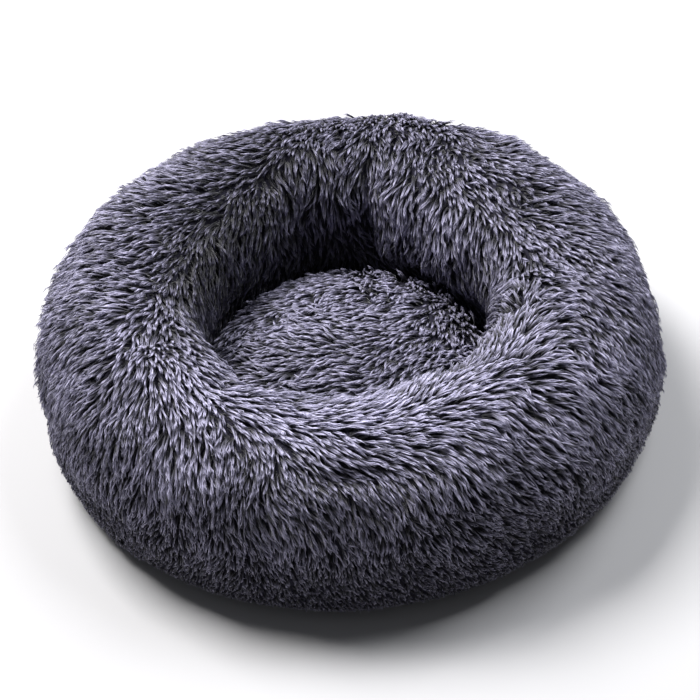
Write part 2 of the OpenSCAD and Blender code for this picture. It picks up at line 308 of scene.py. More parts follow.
class Growth:
    """A Geometry Nodes tree whose named sizes are its inputs. grown() turns its result into a plain mesh."""

    def __init__(self, name, **sizes):
        self.tree = bpy.data.node_groups.new(name, "GeometryNodeTree")
        for label, way in (("Geometry", "INPUT"), ("Geometry", "OUTPUT")):
            self.tree.interface.new_socket(label, in_out=way, socket_type="NodeSocketGeometry")
        self.sizes = {}
        for label, value in sizes.items():
            kind = "NodeSocketInt" if isinstance(value, int) else "NodeSocketFloat"
            socket = self.tree.interface.new_socket(label, in_out="INPUT", socket_type=kind)
            self.sizes[label] = (socket.identifier, value)
        self.entry = self.tree.nodes.new("NodeGroupInput")

    def size(self, label):
        return self.entry.outputs[label]

    def add(self, kind, settings=None, inputs=None, output=0):
        """Any node, with its settings, and its inputs as values or as other nodes' outputs."""
        node = self.tree.nodes.new(kind)
        for key, value in (settings or {}).items():
            setattr(node, key, value)
        for key, value in (inputs or {}).items():
            if isinstance(value, bpy.types.NodeSocket):
                self.tree.links.new(value, node.inputs[key])
            else:
                node.inputs[key].default_value = value
        return node.outputs[output]

    def copies(self, points, item, turned, seed, unevenness):
        """The item at each point, turned that way, each a little larger or smaller."""
        scale = self.add("FunctionNodeRandomValue", {"data_type": "FLOAT"}, {
            "Min": self.add("ShaderNodeMath", {"operation": "SUBTRACT"}, {0: 1.0, 1: unevenness}),
            "Max": self.add("ShaderNodeMath", {"operation": "ADD"}, {0: 1.0, 1: unevenness}), "Seed": seed,
        }, output=1)
        return self.add("GeometryNodeInstanceOnPoints", None, {
            "Points": points, "Instance": item, "Rotation": turned, "Scale": scale,
        })

    def grown(self, name, points, edges, copies, material):
        """The mesh that grows from these points and edges."""
        smooth = self.add("GeometryNodeSetShadeSmooth", None, {
            "Geometry": self.add("GeometryNodeRealizeInstances", None, {"Geometry": copies}),
        })
        exit_node = self.tree.nodes.new("NodeGroupOutput")
        painted = self.add("GeometryNodeSetMaterial", None, {"Geometry": smooth, "Material": material})
        self.tree.links.new(painted, exit_node.inputs[0])
        seed_mesh = bpy.data.meshes.new(name + "_seed")
        seed_mesh.from_pydata([tuple(point) for point in points], edges, [])
        source = added(name + "_seed", seed_mesh)
        growth = source.modifiers.new("growth", "NODES")
        growth.node_group = self.tree
        for identifier, value in self.sizes.values():
            growth[identifier] = value
        grown = bpy.data.meshes.new_from_object(source.evaluated_get(bpy.context.evaluated_depsgraph_get()))
        source.modifiers.remove(growth)
        bpy.data.objects.remove(source)
        grown.name = name
        if not grown.materials:
            grown.materials.append(material)
        return added(name, grown)


def dot_places():
    """Where the dots lie: staggered rows inside the edge, without those under the zip and its hem."""
    limit = BASE_RADIUS - DOT_RADIUS - DOT_MARGIN
    row_pitch = DOT_PITCH * math.sin(math.radians(60))
    zip_half = SLOT_HALF + HEM_WIDTH + DOT_RADIUS + 0.001
    zip_margin = (HEM_WIDTH + DOT_RADIUS + DOT_MARGIN) / ZIP_RADIUS
    found = []
    for row in range(-int(limit / row_pitch), int(limit / row_pitch) + 1):
        for step in range(-int(limit / DOT_PITCH) - 2, int(limit / DOT_PITCH) + 2):
            x, y = step * DOT_PITCH + (row % 2) * DOT_PITCH / 2, row * row_pitch
            off_zip = abs(math.atan2(x, y)) > (slot_end - slot_start) / 2 + zip_margin
            if math.hypot(x, y) < limit and (off_zip or abs(math.hypot(x, y) - ZIP_RADIUS) > zip_half):
                found.append((x, y, base_low[2]))
    return found


rubber = Finish("soft_rubber")
bloom = rubber.add("ShaderNodeTexNoise", None, {"Vector": rubber.place(), "Scale": 260.0, "Detail": 3.0})
rubber_finish = rubber.shader(
    Base_Color=rubber.mix(bloom, (0.008, 0.008, 0.009), (0.022, 0.022, 0.024)),
    Roughness=0.42 + bloom * 0.2, Normal=rubber.relief(bloom, 0.2, 0.0002), Specular_IOR_Level=0.45,
)
dots = Growth("dot_growth", Radius=DOT_RADIUS, Height=float(base_low[2]), Unevenness=0.0, Seed=5)
dome = dots.add("GeometryNodeMeshUVSphere", None, {"Segments": 12, "Rings": 6, "Radius": 1.0})
flattened = dots.add("ShaderNodeCombineXYZ", None, {
    "X": dots.size("Radius"), "Y": dots.size("Radius"), "Z": dots.size("Height"),
})
dome = dots.add("GeometryNodeTransform", None, {"Geometry": dome, "Scale": flattened})
spun = dots.add("FunctionNodeRandomValue", {"data_type": "FLOAT_VECTOR"}, {
    "Min": (0.0, 0.0, 0.0), "Max": (0.0, 0.0, math.tau), "Seed": dots.size("Seed"),
})
anti_slip = dots.grown(
    "anti_slip_domes", dot_places(), [],
    dots.copies(dots.entry.outputs[0], dome, spun, dots.size("Seed"), dots.size("Unevenness")), rubber_finish,
)
belongs(anti_slip, "ring", "dots", "anti_slip_dots")

# The zip: two woven tapes sewn to the hem, each with a nylon coil along its edge, four metal stops, and
# a slider with a pull. It lets the ring's filling out, and it is under the bed, out of sight.
coil_low, coil_high = (np.array(corner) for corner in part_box("zip_coil_outer"))
COIL_HALF = (coil_high[2] - coil_low[2]) / 2
COIL_WIDTH = 0.0024
COIL_INSET = 0.00025
COIL_GAP = 0.001
COIL_MIDDLE = (coil_high[2] + coil_low[2]) / 2
coil_half_arc = math.asin(min(coil_high[0] / coil_high[1], 1.0))

for node in ("zip_hem", "zip_tape_outer", "zip_tape_inner"):
    tape = frame["nodes"][node]
    tape.data.materials.clear()
    tape.data.materials.append(
        base_finish if node == "zip_hem"
        else woven("tape_" + node[9:], (0.012, 0.012, 0.014), (0.05, 0.05, 0.056), 0.0006)
    )


def nylon(name, dark, light):
    """Satin thread or monofilament, with a fine twist in its colour."""
    thread = Finish(name)
    twist = thread.add("ShaderNodeTexNoise", None, {"Vector": thread.place(), "Scale": 900.0, "Detail": 2.0})
    return thread.shader(
        Base_Color=thread.mix(twist, dark, light), Roughness=0.3 + twist * 0.2, Specular_IOR_Level=0.5,
    )


def arc_points(radius, start, end, height, count):
    """A line of points along an arc round the bed's axis, and its edges."""
    turn = np.linspace(start, end, count)
    return on_circle(radius, turn, height).tolist(), [(k, k + 1) for k in range(count - 1)]


def along_path(growth):
    """Points one pitch apart along the path, and how an item is turned to follow it."""
    path = growth.add("GeometryNodeMeshToCurve", None, {"Mesh": growth.entry.outputs[0]})
    path = growth.add("GeometryNodeResampleCurve", {"mode": "LENGTH"}, {
        "Curve": path, "Length": growth.size("Pitch"),
    })
    heading = growth.add("GeometryNodeInputTangent")
    turned = growth.add("FunctionNodeAlignRotationToVector", {"axis": "X"}, {"Vector": heading})
    return path, turned


coil_finish = nylon("nylon_coil", (0.01, 0.01, 0.011), (0.03, 0.03, 0.033))
for side, label in ((1, "outer"), (-1, "inner")):
    coil = Growth(
        "coil_growth_" + label, Pitch=0.0013, Width=COIL_WIDTH / 2 - COIL_INSET,
        Height=float(COIL_HALF) - COIL_INSET, Wire=0.00028, Lean=0.25 * side, Seed=7,
    )
    loop = coil.add("GeometryNodeCurvePrimitiveCircle", None, {"Resolution": 8, "Radius": 1.0})
    stretched = coil.add("ShaderNodeCombineXYZ", None, {
        "X": coil.size("Width"), "Y": coil.size("Height"), "Z": 1.0,
    })
    loop = coil.add("GeometryNodeTransform", None, {"Geometry": loop, "Scale": stretched})
    upright = (math.pi / 2, 0.0, math.pi / 2)
    loop = coil.add("GeometryNodeTransform", None, {"Geometry": loop, "Rotation": upright})
    leaning = coil.add("ShaderNodeCombineXYZ", None, {"X": 0.0, "Y": 0.0, "Z": coil.size("Lean")})
    loop = coil.add("GeometryNodeTransform", None, {"Geometry": loop, "Rotation": leaning})
    section = coil.add("GeometryNodeCurvePrimitiveCircle", None, {
        "Resolution": 5, "Radius": coil.size("Wire"),
    })
    loop = coil.add("GeometryNodeCurveToMesh", None, {"Curve": loop, "Profile Curve": section})
    path, turned = along_path(coil)
    middle = ZIP_RADIUS + side * (COIL_GAP + COIL_WIDTH) / 2
    half_arc = coil_half_arc - 0.003
    points, edges = arc_points(middle, math.pi / 2 - half_arc, math.pi / 2 + half_arc, COIL_MIDDLE, 241)
    loops = coil.copies(path, loop, turned, coil.size("Seed"), 0.0)
    piece = coil.grown("coil_loops_" + label, points, edges, loops, coil_finish)
    belongs(piece, "ring", "zip_coil", "zip_coil_" + label)

metal = Finish("enamelled_metal")
wear = metal.add("ShaderNodeTexNoise", None, {"Vector": metal.place(), "Scale": 420.0, "Detail": 4.0})
metal_finish = metal.shader(
    Base_Color=metal.mix(wear, (0.03, 0.03, 0.033), (0.085, 0.085, 0.09)), Metallic=0.85,
    Roughness=0.28 + wear * 0.2, Normal=metal.relief(wear, 0.15, 0.0001),
)


def eased(name, node, body, width):
    """A copy of the CAD piece with its edges rounded, as die-cast metal has them."""
    mesh = bmesh.new()
    mesh.from_mesh(frame["nodes"][node].data)
    bmesh.ops.remove_doubles(mesh, verts=mesh.verts, dist=1e-6)
    bmesh.ops.dissolve_limit(mesh, angle_limit=math.radians(1.0), verts=mesh.verts, edges=mesh.edges)
    data = bpy.data.meshes.new(name)
    mesh.to_mesh(data)
    mesh.free()
    data.materials.append(metal_finish)
    piece = added(name, data)
    rounding = piece.modifiers.new("eased_edges", "BEVEL")
    rounding.width = width
    rounding.segments = 2
    rounding.limit_method = "ANGLE"
    rounding.angle_limit = math.radians(40)
    belongs(piece, body, "zip_metal", node)


eased("stops", "zip_stops", "ring", 0.00025)
eased("slider_body", "zip_slider", "slider", 0.00018)
eased("pull_tab", "zip_pull", "pull", 0.00022)

# The stitching: grey thread in lock stitch. Two rows hold the tapes and the hem along both sides of the
# slot, and one row runs round the base beside the piping.
thread_finish = nylon("grey_thread", (0.12, 0.12, 0.13), (0.26, 0.26, 0.28))
STITCH_HEIGHT = base_low[2] - 0.0003
STITCH_FROM_SLOT, STITCH_FROM_EDGE = 0.0016, 0.003


def stitched(name, points, edges, body, slot, pitch=0.0032, length=0.0024, width=0.0005):
    """A row of stitches along the path, as one piece."""
    sewing = Growth(name + "_growth", Pitch=pitch, Length=length, Width=width, Unevenness=0.08, Seed=11)
    stitch = sewing.add("GeometryNodeMeshUVSphere", None, {"Segments": 6, "Rings": 4, "Radius": 0.5})
    shaped = sewing.add("ShaderNodeCombineXYZ", None, {
        "X": sewing.size("Length"), "Y": sewing.size("Width"), "Z": sewing.size("Width"),
    })
    stitch = sewing.add("GeometryNodeTransform", None, {"Geometry": stitch, "Scale": shaped})
    path, turned = along_path(sewing)
    piece = sewing.grown(
        name, points, edges,
        sewing.copies(path, stitch, turned, sewing.size("Seed"), sewing.size("Unevenness")), thread_finish,
    )
    belongs(piece, body, slot)


for label, radius in (
    ("outer", ZIP_RADIUS + SLOT_HALF + STITCH_FROM_SLOT),
    ("inner", ZIP_RADIUS - SLOT_HALF - STITCH_FROM_SLOT),
):
    points, edges = arc_points(radius, slot_start, slot_end, STITCH_HEIGHT, 181)
    stitched("slot_stitches_" + label, points, edges, "ring", "zip_tape")
points, edges = arc_points(BASE_RADIUS - STITCH_FROM_EDGE, 0, math.tau, STITCH_HEIGHT, 361)
stitched("edge_stitches", points, edges, "ring", "piping", pitch=0.0042, length=0.0032)

# The piping: a cord in a strip of grey cloth cut on the bias, sewn into the seam between the base and
# the ring. The cloth gathers a little where it goes round.
piping_low, piping_high = (np.array(corner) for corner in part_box("base_piping"))
PIPING_HALF = (piping_high[2] - piping_low[2]) / 2
PIPING_RADIUS = piping_high[0] - PIPING_HALF
PIPING_AROUND, PIPING_OVER = 540, 16
turn, ring = np.meshgrid(
    np.linspace(0, math.tau, PIPING_AROUND, endpoint=False),
    np.linspace(0, math.tau, PIPING_OVER, endpoint=False), indexing="ij",
)
gather = 1 - 0.04 * (1 + np.sin(230 * turn + 2 * ring) * np.sin(17 * turn)) / 2
piping_points = on_circle(
    PIPING_RADIUS + PIPING_HALF * gather * np.cos(ring), turn, PIPING_HALF * (1 + gather * np.sin(ring)),
)
piping = mesh_piece(
    "base_piping_cord", piping_points.reshape(-1, 3),
    [grid_faces(PIPING_AROUND, PIPING_OVER, around=True, over=True)],
    woven("piping_cloth", (0.16, 0.155, 0.17), (0.34, 0.33, 0.36), 0.0007),
)
belongs(piping, "ring", "piping", "base_piping")

# The ring's filling: loose fibre in a thin white bag, stuffed until the bag is round. It lies flat on
# the base, and its crest slumps towards the hollow. The front of the ring is pressed lower, its right
# back leans into the hollow and ends in a fold, and its right front bulges.
RING_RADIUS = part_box("ring_inner_panel")[1][0]
TUBE_HALF = -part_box("ring_outer_panel_right")[0][1] - RING_RADIUS
RING_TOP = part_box("ring_outer_panel_left")[1][2]
TUBE_SINK = 0.024
TUBE_B = (RING_TOP - FLOOR + TUBE_SINK) / 2
TUBE_MIDDLE = RING_TOP - TUBE_B
AROUND, OVER, UNDER = 288, 72, 10
MM = 1000
MM_OVER_TUBE = 85
STUFFING_FRAMES = 20

# Where the cloth is drawn in: angle round the bed from +X and angle over the tube from its outside in
# degrees, then depth and reach along and over the tube in millimetres, then how far it parts the pile.
TUCKS = [
    (114, 120, 10, 13, 18, 0.7), (148, 128, 8, 24, 9, 0.2), (178, 100, 5, 14, 9, 0.2),
    (207, 100, 6, 9, 24, 0.15), (232, 106, 5, 14, 9, 0.15), (266, 56, 6, 28, 7, 0.4),
    (352, 120, 7, 9, 22, 0.2), (333, 118, 6, 14, 12, 0.2), (20, 96, 6, 8, 22, 0.2),
    (78, 146, 12, 7, 50, 0.1), (300, 118, 4, 10, 12, 0.1), (48, 70, 5, 24, 8, 0.2),
    (100, 74, 4, 26, 8, 0.2), (160, 50, 4, 28, 8, 0.2),
]


def near_angle(turn, degrees, width):
    """1 at that angle round the bed, falling off smoothly over that many degrees."""
    return np.exp(-(np.angle(np.exp(1j * (turn - math.radians(degrees)))) / math.radians(width)) ** 2)


def rim_limit(height):
    """How far out the cloth may reach at each height, so that it meets the piping on its inner side."""
    return BASE_RADIUS - 0.0005 + 0.025 * np.sqrt(np.clip((height - FLOOR) / 0.034, 0, 1))


def tube_shape(turn, over):
    """The tube's cloth before it is stuffed: its distance from the axis and its height."""
    cos, sin = np.cos(over), np.sin(over)
    power = np.where(sin < 0, np.where(cos > 0, 2 / 3.2, 2 / 2.4), 2 / 2.2)
    swell = (
        1 + 0.02 * np.sin(3 * turn + 0.6) + 0.016 * np.sin(5 * turn + 2.1) + 0.011 * np.sin(8 * turn + 4.0)
    )
    low_front = 1 - 0.17 * near_angle(turn, 268, 52)
    inner_swell = np.where(cos < 0, swell, 1 + (swell - 1) * 0.4)
    x = TUBE_HALF * 0.975 * inner_swell * np.sign(cos) * np.abs(cos) ** power
    z = TUBE_B * 0.97 * swell ** 0.5 * np.where(sin > 0, low_front, 1) * np.sign(sin) * np.abs(sin) ** power
    height = TUBE_MIDDLE + z
    slump = 0.017 * np.clip((height - 0.055) / 0.12, 0, 1) ** 1.3 * np.where(cos > 0, 1, 1 + 0.2 * cos)
    fold = 1 / (1 + np.exp((np.degrees(turn) - 74) / 2.2))
    lean = 0.026 * near_angle(turn, 46, 32) * fold + 0.013 * near_angle(turn, 160, 44)
    lean = lean * np.sqrt(np.clip(-cos, 0, 1)) * np.clip((height - 0.045) / 0.05, 0, 1)
    bulge = 0.012 * near_angle(turn, 316, 30) * np.clip(cos, 0, 1)
    return np.minimum(RING_RADIUS + x - slump - lean + bulge, rim_limit(height)), height


foot = -math.asin((TUBE_MIDDLE - FLOOR) / (TUBE_B * 0.97) * 0.985)
turn = np.repeat(np.linspace(0, math.tau, AROUND, endpoint=False)[:, None], OVER + UNDER, axis=1)
over = np.repeat(np.linspace(foot, math.pi - foot, OVER)[None, :], AROUND, axis=0)
radius, height = tube_shape(turn[:, :OVER], over)
share = np.linspace(0, 1, UNDER + 2)[None, 1:-1]
flat_radius = radius[:, -1:] * (1 - share) + radius[:, :1] * share
radius = np.concatenate([radius, flat_radius], axis=1)
LYING = FLOOR + 0.0005
height = np.concatenate([np.maximum(height, LYING), np.full_like(flat_radius, LYING)], axis=1)
height[:, [0, OVER - 1]] = LYING
start = on_circle(radius, turn, height)


def outward_of(points):
    """The outward direction at each point of a grid of cloth that closes round the bed and round the tube."""
    side = np.cross(
        np.roll(points, -1, axis=0) - np.roll(points, 1, axis=0),
        np.roll(points, -1, axis=1) - np.roll(points, 1, axis=1),
    )
    return side / np.maximum(np.linalg.norm(side, axis=-1, keepdims=True), 1e-12)


outward = outward_of(start)
held = np.zeros((AROUND, OVER + UNDER))
held[:, OVER:] = 1
held[:, [0, OVER - 1]] = 1
for around_deg, over_deg, deep, along, across, _ in TUCKS:
    off_around = np.angle(np.exp(1j * (turn[:, :OVER] - math.radians(around_deg)))) * radius[:, :OVER] * MM
    off_over = (over - math.radians(over_deg)) * MM_OVER_TUBE
    near = np.exp(-(off_around / along) ** 2 - (off_over / across) ** 2)
    start[:, :OVER] -= outward[:, :OVER] * (near * deep / MM)[..., None]
    held[:, :OVER] = np.maximum(held[:, :OVER], (near > 0.72) * 1.0)

white_cloth = woven("white_bag_cloth", (0.62, 0.62, 0.6), (0.8, 0.8, 0.78), 0.0009, coarse=0.2)
ring_stuffing = mesh_piece(
    "ring_stuffing", start.reshape(-1, 3),
    [grid_faces(AROUND, OVER + UNDER, around=True, over=True)], white_cloth,
)


def stuffed(piece, held, push, limit):
    """The cloth's points after a cloth simulation with pressure from inside, with the held ones fixed.
    As measured, it moves the ring's cloth by nothing and the cushion's by 0.3 mm at most, so the shapes
    are those that the formulas give."""
    still = np.array([vertex.co for vertex in piece.data.vertices])
    group = piece.vertex_groups.new(name="held")
    for index in np.flatnonzero(held > 0):
        group.add([int(index)], float(held[index]), "REPLACE")
    cloth = piece.modifiers.new("stuffing", "CLOTH")
    cloth.settings.quality = 5
    cloth.settings.mass = 0.25
    cloth.settings.tension_stiffness = 18
    cloth.settings.compression_stiffness = 12
    cloth.settings.shear_stiffness = 6
    cloth.settings.bending_stiffness = 0.3
    cloth.settings.use_pressure = True
    cloth.settings.uniform_pressure_force = push
    cloth.settings.vertex_group_mass = "held"
    cloth.settings.effector_weights.gravity = 0
    cloth.point_cache.frame_start = 1
    cloth.point_cache.frame_end = STUFFING_FRAMES
    for step in range(1, STUFFING_FRAMES + 1):
        scene.frame_set(step)
    shaped = piece.evaluated_get(bpy.context.evaluated_depsgraph_get()).to_mesh()
    moved = np.array([vertex.co for vertex in shaped.vertices])
    piece.modifiers.remove(cloth)
    piece.vertex_groups.clear()
    scene.frame_set(1)
    far = np.linalg.norm(moved - still, axis=1, keepdims=True)
    return still + (moved - still) * np.minimum(1, limit / np.maximum(far, 1e-9))


def drift(points, size, seed):
    """A smooth random direction at each point, which changes over about that distance. The noise isn't
    seeded, and Blender then seeds it from the clock, so the pile lies differently in each run."""
    away = Vector((seed * 7.31, seed * 3.17, seed * 5.53))
    return np.array([noise.noise_vector(Vector(point) / size + away) for point in points])


def reshaped(piece, points):
    piece.data.vertices.foreach_set("co", points.astype(np.float32).ravel())
    piece.data.update()


shaped = stuffed(ring_stuffing, held.ravel(), 3.2, 0.012).reshape(AROUND, OVER + UNDER, 3)
reach = np.hypot(shaped[..., 0], shaped[..., 1])
belly_limit = RING_RADIUS + TUBE_HALF + 0.001 + 0.008 * near_angle(turn, 316, 30)
limit = np.minimum(belly_limit, rim_limit(shaped[..., 2]))
shaped[..., :2] *= np.minimum(1, limit / reach)[..., None]
shaped[..., 2] = np.clip(shaped[..., 2], FLOOR + 0.0003, RING_TOP + 0.001)
lumps = drift(shaped.reshape(-1, 3), 0.05, 31)[:, 0].reshape(AROUND, OVER + UNDER)
rising = np.clip((shaped[..., 2] - FLOOR) / 0.05, 0, 1)
shaped = shaped - outward_of(shaped) * (0.0045 * (0.35 + lumps) * rising)[..., None]
skin = shaped[:, :OVER]
skin_out = outward_of(shaped)[:, :OVER]
bag = shaped - outward_of(shaped) * 0.0055
bag[..., 2] = np.maximum(bag[..., 2], FLOOR + 0.0002)
reshaped(ring_stuffing, bag.reshape(-1, 3))
belongs(ring_stuffing, "ring", "bag_cloth", "ring_fill_bag", "ring_fill")

# The ring's cover: three panels of fur cloth, two outside and one inside, sewn together along the crest
# and at two cross seams. Each is a knitted backing with a short dark underfur that the long pile hides.
backing = Finish("fur_backing")
tuft = backing.add("ShaderNodeTexNoise", None, {
    "Vector": backing.place(), "Scale": 420.0, "Detail": 3.0, "Roughness": 0.7,
})
underfur = backing.shader(
    Base_Color=backing.mix(tuft, (0.005, 0.0048, 0.009), (0.04, 0.038, 0.058)),
    Roughness=0.95, Specular_IOR_Level=0.1, Normal=backing.relief(tuft, 1.0, 0.002),
)
CLOTH_THICK = 0.004
CREST = OVER // 2
SEAM = round(AROUND * 10 / 360)


def cloth_shell(name, outer, inner, closed, material, hub=None):
    """A piece of cloth between two grids of points, with its edges closed. hub closes a disc's middle."""
    long, wide = outer.shape[:2]
    face = grid_faces(long, wide, around=closed)
    shell = [face, face[:, ::-1] + long * wide]
    points = [outer.reshape(-1, 3), inner.reshape(-1, 3)]
    steps = np.arange(long if closed else long - 1)
    after = (steps + 1) % long
    for column, flip in ((0, False), (wide - 1, True)):
        if column == 0 and hub is not None:
            continue
        a, b = steps * wide + column, after * wide + column
        rim = np.stack([a, a + long * wide, b + long * wide, b], axis=-1)
        shell.append(rim[:, ::-1] if not flip else rim)
    if not closed:
        for row, flip in ((0, True), (long - 1, False)):
            a = row * wide + np.arange(wide - 1)
            rim = np.stack([a, a + long * wide, a + long * wide + 1, a + 1], axis=-1)
            shell.append(rim[:, ::-1] if not flip else rim)
    if hub is not None:
        points.append(np.array(hub))
        middle = np.full(len(steps), 2 * long * wide)
        shell.append(np.stack([after * wide, steps * wide, middle], axis=-1))
        shell.append(np.stack([steps * wide, after * wide, middle + 1 - long * wide], axis=-1) + long * wide)
    return mesh_piece(name, np.concatenate(points), shell, material)


for name, node, first, last, low, high in (
    ("outer_panel_left", "ring_outer_panel_left", SEAM, SEAM + AROUND // 2, 0, CREST),
    ("outer_panel_right", "ring_outer_panel_right", SEAM + AROUND // 2, SEAM + AROUND, 0, CREST),
    ("inner_panel", "ring_inner_panel", 0, AROUND - 1, CREST, OVER - 1),
):
    closed = last - first == AROUND - 1
    strip = np.arange(first, last + 1) % AROUND
    outer = skin[strip][:, low:high + 1]
    inner = outer - skin_out[strip][:, low:high + 1] * CLOTH_THICK
    inner[..., 2] = np.maximum(inner[..., 2], FLOOR + 0.0002)
    belongs(cloth_shell(name, outer, inner, closed, underfur), "ring", "ring_fur", node)

# The long pile: fine fibres about 25 mm long that cling together in pointed locks, near black at the
# root and pale lavender grey at the tip. The near black low on each fibre is partly the fur's own colour
# and partly painted shade, standing for the shade deep in the pile. It lies down the outside and into
# the hollow, and turns round the ring along the crest.
PILE = 0.025

fur = Finish("long_pile")
strand = fur.add("ShaderNodeUVMap", {"uv_map": "OFBake"})
shade = fur.add("ShaderNodeSeparateXYZ", None, {0: strand}, output="X")
along = fur.add("ShaderNodeSeparateXYZ", None, {0: strand}, output="Y")
# The root colour is partly painted shade: its near black stands for the shade deep in the pile.
root = fur.mix(shade, (0.0025, 0.0023, 0.005), (0.012, 0.011, 0.019))
body = fur.mix(shade, (0.012, 0.0113, 0.021), (0.125, 0.118, 0.186))
tip = fur.mix(shade, (0.2, 0.192, 0.292), (0.6, 0.58, 0.79))
lower, upper = (
    fur.add("ShaderNodeMapRange", {"interpolation_type": "SMOOTHSTEP"}, {0: along, 1: start_at, 2: end_at})
    for start_at, end_at in ((0.18, 0.66), (0.45, 0.92))
)
pile_finish = fur.shader(
    Base_Color=fur.mix(upper, fur.mix(lower, root, body), tip),
    Roughness=0.58, Specular_IOR_Level=0.4, Sheen_Weight=0.2, Sheen_Roughness=0.4,
)


def unit(vectors):
    return vectors / np.maximum(np.linalg.norm(vectors, axis=-1, keepdims=True), 1e-12)


def grow(name, seed, roots, out, way, length, tone, body, slot, lift, spread, fibres_each, steps, dark):
    """Fibres from those roots, in locks that lie down along way. length is each lock's, tone its shade,
    and the higher dark is, the further up the fibre the root's shade goes."""
    chance = np.random.default_rng(seed)
    locks = len(roots)
    steps = np.array(steps)
    stages = len(steps) - 1
    bend = np.radians(np.clip(chance.normal(0, 9, locks) + lift, 16, 84))
    way = unit(way + unit(np.cross(out, way)) * chance.normal(0, 0.16, (locks, 1)))
    side = unit(np.cross(out, way))
    curl = chance.normal(0, 0.2, locks)
    curve = [roots]
    for a, b in zip(steps[:-1], steps[1:]):
        angle = bend * (1 - 0.5 * (a + b)) ** 1.1 - math.radians(6) * b
        direction = (
            out * np.sin(angle)[:, None] + way * np.cos(angle)[:, None]
            + side * (curl * np.sin(3.2 * (a + b)))[:, None]
        )
        curve.append(curve[-1] + unit(direction) * (length * (b - a))[:, None])
    curve = np.stack(curve, axis=1)
    # Each fibre starts beside the lock's root and is drawn towards the lock's point.
    angle = chance.uniform(0, math.tau, (locks, fibres_each))
    far = np.reshape(spread, (-1, 1)) * np.sqrt(chance.uniform(0.02, 1, (locks, fibres_each)))
    offset = (far * np.cos(angle))[..., None] * way[:, None]
    offset = offset + (far * np.sin(angle))[..., None] * side[:, None]
    draw = 1 - 0.86 * steps ** 0.8
    reach = 1 + (chance.uniform(0.76, 1.08, (locks, fibres_each, 1, 1)) - 1) * steps[:, None]
    line = curve[:, None] + offset[:, :, None] * draw[:, None]
    line = roots[:, None, None] + (line - roots[:, None, None]) * reach
    line = (line + chance.normal(0, 0.0007, line.shape) * steps[:, None]).reshape(-1, stages + 1, 3)
    line[..., 2] = np.maximum(line[..., 2], 0.0012)
    fibres = len(line)
    heading = unit(np.diff(line, axis=1))
    across = unit(np.cross(heading, np.repeat(out, fibres_each, axis=0)[:, None]))
    above = np.cross(across, heading)
    thick = np.interp(steps[:-1], [0, 0.36, 0.72], [0.00044, 0.00055, 0.0004])
    thick = thick * chance.uniform(0.7, 1.35, (fibres, 1))
    spin = chance.uniform(0, math.tau, fibres)[:, None]
    rings = np.stack([
        line[:, :-1] + across * (thick * np.cos(spin + third))[..., None]
        + above * (thick * np.sin(spin + third))[..., None]
        for third in np.arange(3) * math.tau / 3
    ], axis=2)
    points = np.concatenate([rings.reshape(fibres, 3 * stages, 3), line[:, -1:]], axis=1)
    sides = [(s, c, (c + 1) % 3) for s in range(stages - 1) for c in range(3)]
    quads = np.array([[s * 3 + c, s * 3 + d, s * 3 + 3 + d, s * 3 + 3 + c] for s, c, d in sides])
    last, top = 3 * stages - 3, 3 * stages
    tips = np.array([[last, last + 1, top], [last + 1, last + 2, top], [last + 2, last, top], [0, 2, 1]])
    first = (np.arange(fibres) * (top + 1))[:, None, None]
    shade = np.clip(np.repeat(tone, fibres_each) + chance.normal(0, 0.12, fibres), 0.01, 0.94)
    quad_uv = [
        [(c / 3, steps[s]), ((c + 1) / 3, steps[s]), ((c + 1) / 3, steps[s + 1]), (c / 3, steps[s + 1])]
        for s, c, _ in sides
    ]
    tip_uv = [[(c / 3, steps[-2]), ((c + 1) / 3, steps[-2]), ((c + 0.5) / 3, 1.0)] for c in range(3)]
    tip_uv.append([(0, 0.0), (0.5, 0.01), (1, 0.0)])

    def mapped(pattern):
        uv = np.repeat(np.array(pattern).reshape(1, -1, 2), fibres, axis=0)
        uv[..., 0] = shade[:, None] + uv[..., 0] * 0.02
        uv[..., 1] = 0.01 + uv[..., 1] ** np.repeat(dark, fibres_each)[:, None] * 0.98
        return uv.reshape(-1, 2)

    piece = mesh_piece(
        name, points.reshape(-1, 3), [(first + quads).reshape(-1, 4), (first + tips).reshape(-1, 3)],
        pile_finish, np.concatenate([mapped(quad_uv), mapped(tip_uv)]),
    )
    belongs(piece, body, slot)


def seeds(seed, first, last, low, high, gap):
    """Where locks grow on the ring's skin: places along and over it, about one gap apart, in no rows."""
    chance = np.random.default_rng(seed)
    run = np.concatenate([[0], np.cumsum(np.linalg.norm(np.diff(skin, axis=1), axis=-1).mean(0))])
    found = []
    line = run[low] + gap * 0.43
    while line < run[high]:
        ring = skin[:, int(np.interp(line, run, np.arange(OVER)))]
        girth = np.linalg.norm(np.diff(ring, axis=0, append=ring[:1]), axis=-1).sum()
        number = int(girth * (last - first) / AROUND / gap)
        u = first + (np.arange(number) + chance.uniform(0, 1, number)) * (last - first) / number
        v = np.interp(line + chance.uniform(-0.5, 0.5, number) * gap, run, np.arange(OVER))
        found.append(np.stack([u, np.clip(v, low, high - 0.001)], axis=-1))
        line += gap * 0.87
    return np.concatenate(found)


def on_grid(grid, places):
    """The grid's value at places, between its four nearest points."""
    u, v = places[:, 0], places[:, 1]
    i, j = np.floor(u).astype(int), np.clip(np.floor(v).astype(int), 0, grid.shape[1] - 2)
    a, b = (u - i)[:, None], (v - j)[:, None]
    i0, i1 = i % len(grid), (i + 1) % len(grid)
    return (grid[i0, j] * (1 - a) * (1 - b) + grid[i1, j] * a * (1 - b)
            + grid[i0, j + 1] * (1 - a) * b + grid[i1, j + 1] * a * b)


